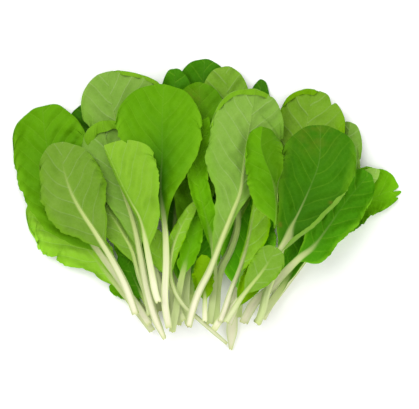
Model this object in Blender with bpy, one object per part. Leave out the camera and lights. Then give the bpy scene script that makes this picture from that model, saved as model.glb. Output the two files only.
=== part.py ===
"""A bunch of young bok choy leaves, fanned out and lying flat on a surface.

Every leaf is one closed solid: a cut base, a pale stalk that carries on as the midrib, and the
blade on both sides of it. The leaves are laid one on another from the lowest to the highest.
Plan positions are millimetres from above, with the cut bases at low y and the blades at high y.
"""

import math
from collections import namedtuple

import bmesh
import bpy
import numpy as np

MM = 0.001

# Sizes of one leaf, in millimetres
BLADE_THICKNESS = 0.8
STALK_LIP = 0.7
RIB_END_HALF_WIDTH = 0.6
RIB_END_DEPTH = 0.2
CUT_END_LENGTH = 16.0
CUT_END_SHARE = 0.86  # how wide a stalk is at its cut, of its thickest
TIP_SHARE = 0.24

# The stalk's underside is a little flat, and its cut end lies straight for this share of a leaf
RIDGE_FULLNESS = 1.16
STRAIGHT_SHARE = 0.12

# Where the four half widths of a blade are measured, as shares of its length
WIDTH_STATIONS = (0.0, 0.15, 0.35, 0.55, 0.76)

# How leaves lie on each other, in millimetres
CLEARANCE = 0.4
HEAP_CELL = 1.0
HEAP_HALF_SPAN = (190.0, 150.0)
HEAP_MARGIN = 30.0
HEAP_FINER = 14

# Grid of one leaf: coarse cells, and the finer steps that look for what lies underneath
FINER = 4
SPREAD_ROWS, SOFTEN_ROWS = 8, 4
SPREAD_COLUMNS, SOFTEN_COLUMNS = 7, 3
STEEPEST_ACROSS = 0.45  # rise per distance across a leaf
HOLLOW_ROUNDING = 5.0

GREEN_UPPER = (0.098, 0.262, 0.012, 1.0)
GREEN_UNDER = (0.242, 0.413, 0.112, 1.0)
GREEN_DARK = (0.045, 0.155, 0.010, 1.0)
GREEN_YOUNG = (0.215, 0.440, 0.030, 1.0)

Leaf = namedtuple(
    "Leaf", "name face green spine bare left right stalk base end arch cup wave waves small"
)


def leaf(name, face, green, spine, bare, left, right, stalk=(4.2, 3.3), base=(5.4, 4.4), end=None,
         arch=2.0, cup=2.4, wave=1.0, waves=4.0, small=False):
    """One leaf: its spine from cut base to tip, the bare share of it, and the blade's half widths.

    stalk, base and end are the stalk's width and depth at the blade, above the cut and at the cut.
    """
    end = end or tuple(CUT_END_SHARE * size for size in base)
    return Leaf(name, face, green, spine, bare, left, right, stalk, base, end, arch, cup, wave, waves, small)


LEAVES = [
    leaf("leaf_back_left", "upper", GREEN_DARK,
         [(-36, 28), (-52, 66), (-68, 107), (-82, 147), (-94, 182)], 0.34,
         (12, 17, 19, 17), (12, 17, 19, 17), small=True),
    leaf("leaf_back_right_tip", "upper", GREEN_DARK,
         [(16, 0), (17, 17), (18, 35), (23, 60), (30, 111), (34, 155), (39, 201)], 0.40,
         (9, 12, 12, 9), (9, 12, 12, 9), base=(8.6, 6.4), end=(2.6, 2.4), small=True),
    leaf("leaf_back_top", "upper", GREEN_DARK,
         [(-23, 18), (-19, 45), (-12, 96), (-7, 155), (-3, 216)], 0.30,
         (12, 18, 23, 23), (12, 18, 22, 22)),
    leaf("leaf_back_top_left", "upper", GREEN_DARK,
         [(-27, 20), (-26, 53), (-24, 111), (-25, 162), (-25, 209)], 0.32,
         (11, 15, 16, 12), (11, 15, 17, 14), small=True),
    leaf("leaflet_low_left", "upper", GREEN_UPPER,
         [(-38, 20), (-50, 34), (-62, 44), (-74, 48)], 0.40,
         (3, 5, 6, 6), (3, 5, 6, 6), stalk=(2.6, 2.0), base=(3.6, 2.6), arch=1.0, cup=1.0, small=True),
    leaf("leaf_low_left", "upper", GREEN_YOUNG,
         [(-41, 14), (-59, 38), (-80, 63), (-100, 88), (-116, 106), (-128, 119)], 0.30,
         (7, 16, 26, 24), (10, 16, 20, 18), wave=2.0, waves=6.0),
    leaf("leaf_far_right", "upper", GREEN_UPPER,
         [(43, 32), (55, 49), (74, 71), (96, 95), (118, 111), (142, 121)], 0.36,
         (6, 14, 21, 22), (7, 12, 16, 14), wave=1.8, waves=5.0),
    leaf("leaf_inner_left_short", "upper", GREEN_DARK,
         [(-40, 24), (-46, 44), (-51, 66), (-56, 90), (-62, 112)], 0.22,
         (10, 14, 16, 13), (10, 14, 16, 13), base=(5.0, 3.8), stalk=(4.0, 3.0), small=True),
    leaf("leaf_inner_centre_short", "upper", GREEN_DARK,
         [(-12, 24), (-13, 44), (-10, 66), (-6, 90), (-2, 114)], 0.20,
         (12, 17, 19, 16), (12, 17, 19, 16), base=(5.0, 3.8), stalk=(4.0, 3.0), small=True),
    leaf("leaf_inner_right_short", "upper", GREEN_DARK,
         [(22, 24), (23, 44), (26, 66), (31, 90), (38, 114)], 0.22,
         (12, 18, 20, 16), (12, 18, 20, 16), base=(5.0, 3.8), stalk=(4.0, 3.0), small=True),
    leaf("leaf_right_pale_back", "under", GREEN_UNDER,
         [(39, 23), (59, 60), (81, 100), (98, 137), (104, 169)], 0.36,
         (9, 14, 17, 17), (9, 15, 18, 13)),
    leaf("leaf_right_pale_low", "under", GREEN_UNDER,
         [(34, 20), (66, 62), (92, 98), (109, 120), (125, 133)], 0.40,
         (7, 10, 12, 9), (6, 9, 9, 7), small=True),
    leaf("leaf_right_inner", "upper", GREEN_DARK,
         [(38, 26), (52, 45), (63, 65), (70, 82), (80, 101)], 0.30,
         (8, 11, 12, 11), (3, 5, 8, 9), small=True),
    leaf("leaf_top_pale", "under", GREEN_UNDER,
         [(5, 18), (6, 45), (9, 61), (15, 73), (20, 88), (21, 100), (19, 126), (15, 162), (12, 210)], 0.40,
         (10, 15, 19, 20), (10, 15, 19, 17), stalk=(4.6, 3.6), base=(5.6, 4.6)),
    leaf("leaf_top_centre", "upper", GREEN_UPPER,
         [(-15, 19), (-17, 38), (-15, 67), (-12, 104), (-9, 140), (-7, 169), (-7, 198)], 0.32,
         (10, 15, 19, 20), (10, 15, 20, 20)),
    leaf("leaf_top_left_pale", "under", GREEN_UNDER,
         [(-29, 18), (-37, 53), (-49, 100), (-62, 147), (-71, 180), (-75, 206)], 0.36,
         (4, 7, 11, 20), (11, 20, 32, 42), cup=4.0),
    leaf("leaf_far_left", "upper", GREEN_UPPER,
         [(-43, 19), (-66, 53), (-91, 88), (-109, 122), (-119, 151), (-123, 181)], 0.36,
         (15, 26, 27, 25), (13, 26, 30, 28), cup=4.0),
    leaf("leaf_low_frill", "upper", GREEN_DARK,
         [(-39, 23), (-47, 38), (-56, 56), (-63, 74)], 0.30,
         (5, 8, 9, 8), (5, 8, 9, 8), stalk=(3.0, 2.4), base=(4.4, 3.2), wave=1.8, small=True),
    leaf("leaf_thin_stalk", "upper", GREEN_YOUNG,
         [(-18, 22), (-23, 34), (-30, 53), (-36, 71), (-42, 90)], 0.50,
         (4, 7, 8, 7), (4, 7, 8, 7), stalk=(2.8, 2.2), base=(3.8, 3.0), small=True),
    leaf("leaf_inner_jagged", "upper", GREEN_UPPER,
         [(-27, 14), (-24, 31), (-21, 49), (-17, 66), (-12, 84), (-9, 105)], 0.46,
         (6, 7, 6.5, 5), (5, 7, 8, 6), stalk=(4.0, 3.2), base=(5.0, 4.0), small=True),
    leaf("leaf_inner_rooted", "under", GREEN_UNDER,
         [(14, 5), (3, 15), (-7, 24), (-17, 33), (-24, 43), (-28, 55), (-28, 67), (-25, 80), (-19, 94), (-10, 110)],
         0.52, (3, 5, 5, 4), (3, 5, 6, 5), stalk=(3.0, 2.4), base=(2.6, 2.4), end=(1.8, 1.8), small=True),
    leaf("leaf_low_right", "upper", GREEN_DARK,
         [(25, 20), (28, 27), (34, 37), (45, 47), (55, 58), (66, 69), (76, 77), (88, 93), (101, 111), (118, 131)],
         0.42, (8, 13, 17, 16), (14, 18, 18, 14), stalk=(4.6, 3.6), base=(7.0, 5.4), wave=1.4),
    leaf("leaf_top_right_pale", "under", GREEN_UNDER,
         [(35, 20), (39, 31), (42, 44), (48, 60), (55, 85), (65, 126), (71, 162), (76, 193)], 0.36,
         (10, 18, 22, 22), (10, 20, 27, 28), stalk=(4.6, 3.6), base=(5.6, 4.6), cup=4.0),
    leaf("leaf_inner_narrow", "upper", GREEN_UPPER,
         [(0, 20), (3, 43), (4, 65), (2, 82), (-2, 98), (-6, 114), (-9, 130), (-7, 148), (-1, 172)], 0.30,
         (3, 5, 7, 7), (6, 8, 8, 9), stalk=(3.6, 2.8), base=(5.0, 4.0), wave=1.6, waves=7.0),
    leaf("leaflet_centre", "upper", GREEN_YOUNG,
         [(-3, 22), (-3, 38), (-4, 53), (-4, 72)], 0.32,
         (5, 7, 8, 6), (5, 7, 8, 6), stalk=(2.8, 2.2), base=(4.0, 3.0), arch=1.0, cup=1.5,
         wave=1.4, waves=5.0, small=True),
    leaf("leaf_left_inner", "under", GREEN_UNDER,
         [(-43, 26), (-46, 42), (-51, 56), (-56, 74), (-64, 89), (-72, 102), (-80, 120)], 0.38,
         (6, 10, 13, 12), (6, 10, 13, 12), stalk=(3.2, 2.6), base=(4.4, 3.4), small=True),
    leaf("leaf_left_pale_inner", "under", GREEN_UNDER,
         [(-32, 9), (-39, 25), (-45, 45), (-50, 71), (-55, 95), (-64, 122), (-73, 147), (-78, 169)], 0.40,
         (6, 12, 17, 18), (7, 16, 22, 22), stalk=(4.6, 3.6), base=(5.6, 4.4), end=(2.8, 2.6)),
    leaf("leaf_centre_large", "upper", GREEN_UPPER,
         [(-29, 17), (-32, 38), (-31, 67), (-32, 93), (-35, 118), (-34, 144), (-34, 171), (-33, 196)], 0.38,
         (4, 16, 28, 34), (4, 15, 26, 29), stalk=(4.0, 3.4), base=(5.0, 4.2), cup=4.0, arch=4.0),
    leaf("leaf_left_front", "under", GREEN_UNDER,
         [(-53, 27), (-61, 49), (-72, 70), (-83, 88), (-94, 105), (-101, 119), (-106, 136), (-107, 154)], 0.38,
         (11, 21, 23, 18), (9, 20, 27, 24), stalk=(4.2, 3.4), base=(6.0, 4.8), cup=4.0, arch=4.0),
    leaf("leaf_centre_pale", "under", GREEN_UNDER,
         [(-15, 18), (-12, 31), (-7, 45), (1, 61), (9, 82), (17, 102), (23, 118), (26, 140), (30, 167),
          (34, 193)], 0.28,
         (8, 16, 28, 27), (2.6, 5, 16, 26), stalk=(4.4, 3.6), base=(5.2, 4.2), cup=4.0, arch=4.0),
    leaf("leaf_left_folded", "upper", GREEN_YOUNG,
         [(-36, 36), (-39, 45), (-43, 66), (-46, 82), (-50, 98), (-57, 111), (-65, 127), (-76, 151)], 0.32,
         (1, 2, 2, 2), (9, 18, 27, 30), stalk=(4.0, 3.4), base=(5.0, 4.0), cup=3.0, arch=4.0),
    leaf("leaf_right_large", "upper", GREEN_DARK,
         [(3, 16), (9, 25), (23, 40), (36, 56), (52, 76), (59, 91), (65, 102), (74, 122), (80, 140), (81, 166)],
         0.42, (8, 17, 25, 27), (8, 17, 25, 27), stalk=(4.2, 3.4), base=(5.0, 4.2), cup=4.0, arch=4.0),
    leaf("leaf_right_young", "under", GREEN_YOUNG,
         [(8, 22), (12, 33), (16, 45), (22, 60), (27.5, 77), (31, 94), (33, 106), (35, 122)], 0.36,
         (2, 2, 2, 2), (6, 12, 14, 10), stalk=(3.0, 2.6), base=(4.8, 3.8), small=True),
    leaf("leaflet_right_frill", "upper", GREEN_YOUNG,
         [(15, 20), (20, 32), (26, 45), (32, 58), (36, 68)], 0.28,
         (3, 6, 7, 6), (4, 8, 9, 7), stalk=(2.4, 2.0), base=(3.2, 2.6), arch=1.0, cup=1.5,
         wave=1.4, waves=5.0, small=True),
    leaf("leaf_right_round", "under", GREEN_UNDER,
         [(12, 22), (18, 32), (23, 40), (30, 49), (38, 59), (44, 68), (49, 77)], 0.38,
         (5, 9, 11, 11), (5, 9, 11, 11), stalk=(3.0, 2.4), base=(4.6, 3.4), small=True),
    leaf("leaf_right_front", "upper", GREEN_UPPER,
         [(47.5, 90), (48.5, 101), (48, 113), (45, 128), (40, 141), (37.5, 152), (39, 165)], 0.05,
         (13, 18, 17, 11), (1.2, 3, 11, 16), stalk=(2.4, 2.0), base=(2.4, 2.0), end=(1.6, 1.4), wave=1.4),
]


def smooth(value, start, end):
    """0 before start, 1 after end, and a smooth step between."""
    share = np.clip((value - start) / (end - start), 0.0, 1.0)
    return share * share * (3.0 - 2.0 * share)


def curve_through(points, steps=24):
    """A smooth line through the points, with its length measured along it."""
    p = np.array(points, dtype=float)
    p = np.vstack([2 * p[0] - p[1], p, 2 * p[-1] - p[-2]])
    t = np.linspace(0.0, 1.0, steps, endpoint=False)[:, None]
    runs = []
    for a, b, c, d in zip(p[:-3], p[1:-2], p[2:-1], p[3:]):
        bend = 2 * a - 5 * b + 4 * c - d
        runs.append(0.5 * (2 * b + (c - a) * t + bend * t**2 + (3 * b - a - 3 * c + d) * t**3))
    line = np.vstack(runs + [p[-2:-1]])
    along = np.concatenate([[0.0], np.cumsum(np.linalg.norm(np.diff(line, axis=0), axis=1))])
    return line, along


def finer(values, times):
    """The same values with evenly spaced steps put between each pair."""
    n = len(values)
    return np.interp(np.arange((n - 1) * times + 1) / times, np.arange(n), values)


def rows_of(one):
    """Row positions from 0 at the cut base to 1 where the blade starts, and 2 at the tip."""
    stalk, blade = (4, 6) if one.small else (5, 9)
    low = np.linspace(0.0, 1.0, stalk + 1) ** 1.25
    high = 1.0 + np.linspace(0.0, 1.0, blade + 1)[1:] ** 0.85
    return np.concatenate([low, high])


def columns_of(one):
    """Column positions: -1 to 1 across the rib, and out to -2 and 2 at the margins."""
    rib = (-1.0, 0.0, 1.0) if one.small else (-1.0, -0.5, 0.0, 0.5, 1.0)
    return np.array([-2.0, -1.45, *rib, 1.45, 2.0])


def plan(one, rows, columns):
    """Where each point of a leaf's grid lies from above, and its place on the leaf."""
    line, along = curve_through(one.spine)
    length = along[-1]
    bare = one.bare * length
    row, column = np.meshgrid(rows, columns, indexing="ij")
    blade = np.clip(row - 1.0, 0.0, 1.0)
    station = np.where(row < 1.0, row * bare, bare)
    margin = bare + (length - bare) * (blade - TIP_SHARE * blade**3)
    share = np.clip((margin - bare) / (length - bare), 0.0, 1.0)
    rib = rib_half_width(one, station, blade)
    lip = rib + STALK_LIP
    left = np.maximum(half_widths(share, one.left), lip)
    right = np.maximum(half_widths(share, one.right), lip)
    wide = np.where(column < 0, left, right)
    outer = np.clip(np.abs(column) - 1.0, 0.0, 1.0)
    offset = np.sign(column) * np.where(np.abs(column) <= 1.0, np.abs(column) * rib, rib + (wide - rib) * outer)
    across = np.clip(offset / wide, -1.0, 1.0)
    drop = TIP_SHARE * blade**3 * (1.0 - np.sqrt(np.maximum(0.0, 1.0 - across**2)))
    where = np.where(row < 1.0, station, bare + (length - bare) * (blade - drop))
    px, py = np.interp(where, along, line[:, 0]), np.interp(where, along, line[:, 1])
    ahead, behind = np.minimum(where + 4.0, length), np.maximum(where - 4.0, 0.0)
    dx = np.interp(ahead, along, line[:, 0]) - np.interp(behind, along, line[:, 0])
    dy = np.interp(ahead, along, line[:, 1]) - np.interp(behind, along, line[:, 1])
    norm = np.hypot(dx, dy)
    x, y = px + offset * dy / norm, py - offset * dx / norm
    return x, y, where / length, station, blade, across, offset, rib


def stalk_size(one, station, which):
    """The stalk's width (0) or depth (1): narrow at a root end, thick above it, slim at the blade."""
    line = curve_through(one.spine)[1][-1] * one.bare
    body = one.base[which] + (one.stalk[which] - one.base[which]) * np.clip(station / line, 0.0, 1.0)
    return body + (one.end[which] - one.base[which]) * (1.0 - smooth(station, 0.0, CUT_END_LENGTH))


def rib_half_width(one, station, blade):
    """Half the width of the stalk and midrib, from the cut base to the tip."""
    stalk = 0.5 * stalk_size(one, station, 0)
    return stalk + (RIB_END_HALF_WIDTH - stalk) * (1.0 - (1.0 - blade) ** 1.6)


def rib_depth(one, station, blade):
    """How far the stalk or midrib stands out of the blade."""
    stalk = stalk_size(one, station, 1) - BLADE_THICKNESS
    return stalk + (RIB_END_DEPTH - stalk) * (1.0 - (1.0 - blade) ** 2.0)


def half_widths(share, widths):
    """A smooth outline through the half widths measured at WIDTH_STATIONS."""
    at, value = np.array(WIDTH_STATIONS), np.array((0.0, *widths), dtype=float)
    slope = np.gradient(value, at)
    k = np.clip(np.searchsorted(at, share, side="right") - 1, 0, len(at) - 2)
    span = at[k + 1] - at[k]
    t = np.clip((share - at[k]) / span, 0.0, 1.0)
    rise = value[k] * (1 + 2 * t) * (1 - t) ** 2 + value[k + 1] * t**2 * (3 - 2 * t)
    return rise + span * (slope[k] * t * (1 - t) ** 2 - slope[k + 1] * t**2 * (1 - t))


def own_rise(one, along, blade, across):
    """How high a leaf stands by its own shape above what it rests on."""
    opened = smooth(blade, 0.0, 0.35)
    bowl = across**2 if one.face == "upper" else 1.0 - across**2
    phase = 2.0 * math.pi * one.waves * blade + 1.3 * np.sign(across) + one.spine[0][0]
    ruffle = one.wave * np.abs(across) ** 3 * (1.0 + np.sin(phase))
    free = np.clip((along - STRAIGHT_SHARE) / (1.0 - STRAIGHT_SHARE), 0.0, 1.0)
    return one.arch * np.sin(math.pi * free) ** 2 + opened * (one.cup * bowl + ruffle)


class Heap:
    """The height of the leaves laid so far, on a square grid seen from above."""

    def __init__(self):
        self.size = [int(2 * span / HEAP_CELL) for span in HEAP_HALF_SPAN]
        self.top = np.full(self.size, -CLEARANCE)

    def cells(self, x, y):
        i = np.rint((x + HEAP_HALF_SPAN[0]) / HEAP_CELL).astype(int)
        j = np.rint((y + HEAP_MARGIN) / HEAP_CELL).astype(int)
        return i, j

    def under(self, x, y):
        """The highest point near each place."""
        i, j = self.cells(x, y)
        found = np.full(x.shape, -CLEARANCE)
        for di in (-1, 0, 1):
            for dj in (-1, 0, 1):
                found = np.maximum(found, self.top[i + di, j + dj])
        return found

    def add(self, x, y, z):
        """Lays a leaf's top surface, given on its coarse grid, on the heap."""
        dense = [finer_grid(value, HEAP_FINER) for value in (x, y, z)]
        i, j = self.cells(dense[0], dense[1])
        np.maximum.at(self.top, (i.ravel(), j.ravel()), dense[2].ravel())


def finer_grid(values, times):
    """A grid with straight steps put between its rows and columns."""
    wide = np.array([finer(line, times) for line in values])
    return np.array([finer(line, times) for line in wide.T]).T


def run_over(values, reach, axis, pick):
    """The highest or the mean value within reach along one axis."""
    pad = [(reach, reach) if a == axis else (0, 0) for a in range(2)]
    padded = np.pad(values, pad, mode="edge")
    shifts = [np.take(padded, np.arange(k, k + values.shape[axis]), axis=axis) for k in range(2 * reach + 1)]
    return pick(shifts, axis=0)


def resting_height(heap, x, y, offset):
    """A smooth height that clears the heap under every point of a leaf."""
    height = heap.under(x, y)
    height = run_over(height, SPREAD_ROWS, 0, np.max)
    height = run_over(height, SPREAD_COLUMNS, 1, np.max)
    height = run_over(height, SOFTEN_ROWS, 0, np.mean)
    height = run_over(height, SOFTEN_COLUMNS, 1, np.mean)
    return eased_across(height, offset)


def eased_across(height, offset):
    """Raises a leaf where it would be steeper across than a blade lies, and rounds its hollows."""
    gap = np.abs(offset[:, :, None] - offset[:, None, :])
    raised = np.max(height[:, None, :] - STEEPEST_ACROSS * gap, axis=2)
    weight = np.exp(-((gap / HOLLOW_ROUNDING) ** 2)) * np.gradient(offset, axis=1)[:, None, :]
    return np.maximum(raised, np.sum(raised[:, None, :] * weight, axis=2) / np.sum(weight, axis=2))


def settle(one, heap):
    """Lays a leaf on the heap: the top and bottom surfaces of its coarse grid."""
    rows, columns = finer(rows_of(one), FINER), finer(columns_of(one), FINER)
    x, y, along, station, blade, across, offset, rib = plan(one, rows, columns)
    bottom = resting_height(heap, x, y, offset) + CLEARANCE + own_rise(one, along, blade, across)
    depth = rib_depth(one, station, blade)
    ridge = depth * np.minimum(1.0, RIDGE_FULLNESS * np.sqrt(np.maximum(0.0, 1.0 - (offset / rib) ** 2)))
    if one.face == "upper":
        top = bottom + depth + BLADE_THICKNESS
        bottom = bottom + depth - ridge
    else:
        top = bottom + BLADE_THICKNESS + ridge
    coarse = [value[::FINER, ::FINER] for value in (x, y, bottom, top)]
    heap.add(coarse[0], coarse[1], coarse[3])
    return coarse


def closed_mesh(name, x, y, bottom, top):
    """A leaf's two surfaces joined all round their edge, split alike into triangles."""
    bm = bmesh.new()
    rows, columns = x.shape
    grids = []
    for z in (bottom, top):
        grids.append([[bm.verts.new((x[i, j] * MM, y[i, j] * MM, z[i, j] * MM)) for j in range(columns)]
                      for i in range(rows)])
    low, high = grids
    for i in range(rows - 1):
        for j in range(columns - 1):
            for a, b, c in (((i, j), (i, j + 1), (i + 1, j + 1)), ((i, j), (i + 1, j + 1), (i + 1, j))):
                bm.faces.new([high[k][m] for k, m in (a, b, c)])
                bm.faces.new([low[k][m] for k, m in (c, b, a)])
    rim = [(0, j) for j in range(columns)] + [(i, columns - 1) for i in range(1, rows)]
    rim += [(rows - 1, j) for j in range(columns - 2, -1, -1)] + [(i, 0) for i in range(rows - 2, 0, -1)]
    for (i, j), (k, m) in zip(rim, rim[1:] + rim[:1]):
        bm.faces.new((low[i][j], low[k][m], high[k][m]))
        bm.faces.new((low[i][j], high[k][m], high[i][j]))
    bmesh.ops.recalc_face_normals(bm, faces=bm.faces)
    mesh = bpy.data.meshes.new(name)
    bm.to_mesh(mesh)
    bm.free()
    return mesh


def green(name, colour):
    """A matt leaf finish."""
    material = bpy.data.materials.new(name)
    material.use_nodes = True
    shader = material.node_tree.nodes["Principled BSDF"]
    shader.inputs["Base Color"].default_value = colour
    shader.inputs["Roughness"].default_value = 0.5
    shader.inputs["Metallic"].default_value = 0.0
    return material


def main():
    for old in list(bpy.data.objects):
        bpy.data.objects.remove(old)
    bunch = bpy.data.collections.new("bok_choy_bunch")
    bpy.context.scene.collection.children.link(bunch)
    heap = Heap()
    laid = [settle(one, heap) for one in LEAVES]
    centre_x = (min(part[0].min() for part in laid) + max(part[0].max() for part in laid)) / 2
    centre_y = (min(part[1].min() for part in laid) + max(part[1].max() for part in laid)) / 2
    for one, (x, y, bottom, top) in zip(LEAVES, laid):
        mesh = closed_mesh(one.name, x - centre_x, y - centre_y, bottom, top)
        mesh.materials.append(green(one.name, one.green))
        mesh.shade_smooth()
        bunch.objects.link(bpy.data.objects.new(one.name, mesh))


main()
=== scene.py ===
"""A bunch of young bok choy: the finished leaves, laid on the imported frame.

Each leaf is a fine sheet with a stalk and midrib, veined and puckered, that follows the coarse
leaf of the frame. Lengths in the tables are millimetres, seen from above.
"""

import math
from collections import namedtuple

import bpy
import numpy as np
from bpy.props import FloatProperty, FloatVectorProperty, IntProperty, PointerProperty
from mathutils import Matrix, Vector
from mathutils.bvhtree import BVHTree


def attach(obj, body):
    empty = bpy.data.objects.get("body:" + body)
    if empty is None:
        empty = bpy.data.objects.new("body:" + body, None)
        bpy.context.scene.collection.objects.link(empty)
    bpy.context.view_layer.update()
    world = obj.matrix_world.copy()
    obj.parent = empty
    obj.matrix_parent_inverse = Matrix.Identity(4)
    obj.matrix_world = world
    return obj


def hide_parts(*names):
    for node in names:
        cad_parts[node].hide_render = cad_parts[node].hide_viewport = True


bl_info = {
    "name": "Bok Choy Bunch",
    "version": (1, 0, 0),
    "blender": (4, 5, 0),
    "location": "View3D > Sidebar > Bok Choy",
    "description": "Models the veined leaves and pale stalks of a bunch of young bok choy",
    "category": "Add Mesh",
}

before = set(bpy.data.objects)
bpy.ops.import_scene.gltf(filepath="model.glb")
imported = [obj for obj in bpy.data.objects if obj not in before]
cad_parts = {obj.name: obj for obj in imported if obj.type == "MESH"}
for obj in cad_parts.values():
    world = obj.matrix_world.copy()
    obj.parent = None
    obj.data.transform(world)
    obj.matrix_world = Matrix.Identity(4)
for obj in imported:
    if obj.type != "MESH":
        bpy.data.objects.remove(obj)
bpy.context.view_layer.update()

MM = 0.001

# The frame's leaf: its blade, lip, midrib end and cut end, and the shares that shape its tip
BLADE_THICKNESS = 0.8
STALK_LIP = 0.7
RIB_END_HALF_WIDTH = 0.6
RIB_END_DEPTH = 0.2
CUT_END_LENGTH = 16.0
CUT_END_SHARE = 0.86
TIP_SHARE = 0.24
WIDTH_STATIONS = (0.0, 0.15, 0.35, 0.55, 0.76)
RIDGE_FULLNESS = 1.16

# How the frame's rib narrows and flattens along the blade, how its rows crowd at the cut end and
# the tip, its one column between rib and margin, and the stretch that gives a spine's direction
RIB_TAPER = (1.6, 2.0)
ROW_CROWDING = (1.25, 0.85)
WING_COLUMN = 1.45
DIRECTION_STRETCH = 4.0

# A rolled margin: the share of its width that goes round the fold, and how the rest rises
ROLL_SHARE = 0.5
ROLL_RISE = 0.15

# The lip along a fine stalk, and the place on the blade that colours the end of a leaf without a stalk
FINE_LIP = 0.25
NO_STALK = 0.3

# How far a snapped stalk's end is uneven, in millimetres, and the length of stalk that this reaches
CUT_RAGGED = 0.8
CUT_RAGGED_LENGTH = 3.0

# The radius that rounds the cut end of a fine stalk
CUT_RADIUS = 1.8

# For a fringe of 1, shares of the half width: the scallops and the teeth of a margin; and of the
# length: how uneven the tip is. Then the most that a fringe adds to a ruffled rim
SCALLOP = 0.022
TEETH = 0.02
TIP_UNEVEN = 0.004
RUFFLE_LIMIT = 1.9

# The broad waves of a blade and its small blisters: their lengths along and across it in
# millimetres, and the blisters' height for a fringe of 1 as a share of the pucker
BILLOW_LENGTHS = (9.0, 8.0)
BLISTER_LENGTHS = (3.3, 2.9)
BLISTER = 0.3

# Side veins: how much they bow towards the tip, how far they wander, and how much later they leave
# the midrib on the right, as a share of their spacing
VEIN_BOW = 0.009
VEIN_WANDER = 2.4
VEIN_STAGGER = 0.45

# The photograph's frame, its middle on the plan, and the size of one of its pixels
PHOTO_SIZE = (419, 409)
PHOTO_MIDDLE = (0.4, 107.7)
PIXEL = 0.73

# Kinds of leaf: the side that faces up, and the record's material slot
DARK, BRIGHT, YOUNG = ("upper", "leaf_dark"), ("upper", "leaf_green"), ("upper", "leaf_young")
PALE, YOUNG_BACK = ("under", "leaf_pale"), ("under", "leaf_young")

Leaf = namedtuple("Leaf", "name face slot spine bare left right stalk base end small")


def leaf(name, kind, spine, bare, left, right, stalk=(4.2, 3.3), base=(5.4, 4.4), end=None, small=False):
    """One leaf of the frame: its spine from cut base to tip, the bare share of it, and its half widths."""
    end = end or tuple(CUT_END_SHARE * size for size in base)
    return Leaf(name, *kind, spine, bare, left, right, stalk, base, end, small)


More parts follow.
